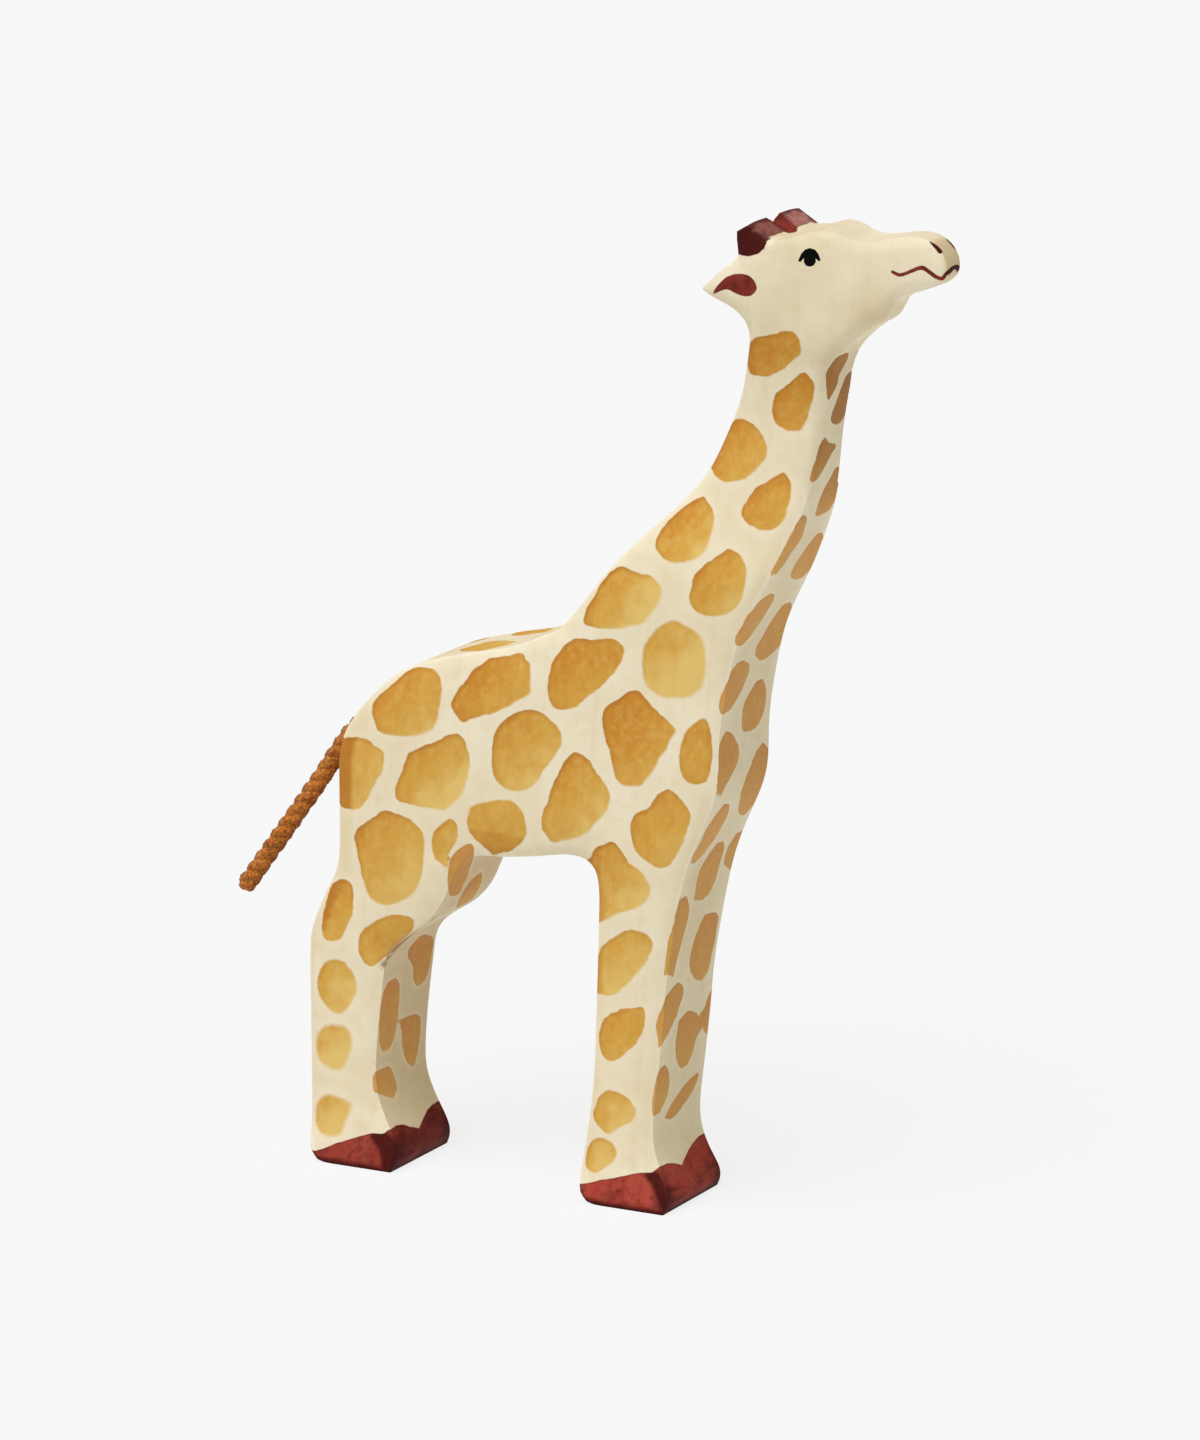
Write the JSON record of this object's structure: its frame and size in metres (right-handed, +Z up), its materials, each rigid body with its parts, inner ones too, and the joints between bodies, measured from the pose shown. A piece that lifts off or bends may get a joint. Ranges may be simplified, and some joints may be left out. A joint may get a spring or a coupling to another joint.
{
  "type": "toy wild animal figure",
  "caption": "Standing wooden giraffe figure, sawn from one board and carved, with raised head, fused leg pairs on flat hooves and a cord tail.",
  "frame": {"origin": "middle of the wooden body's length and width, on the plane of the soles", "axes": "+X forward, towards the animal's muzzle, +Y to its left, +Z up"},
  "size_m": [0.1711, 0.0264, 0.2143],
  "materials": {
    "painted_wood": "whitewashed wood with painted spots under a thin satin varnish",
    "tail_yarn": "twisted cord of three strands, matt",
    "set_glue": "set wood glue"
  },
  "bodies": {
    "root": {"carved_body": "painted_wood", "tail_cord": "tail_yarn", "tail_glue": "set_glue"}
  },
  "joints": []
}
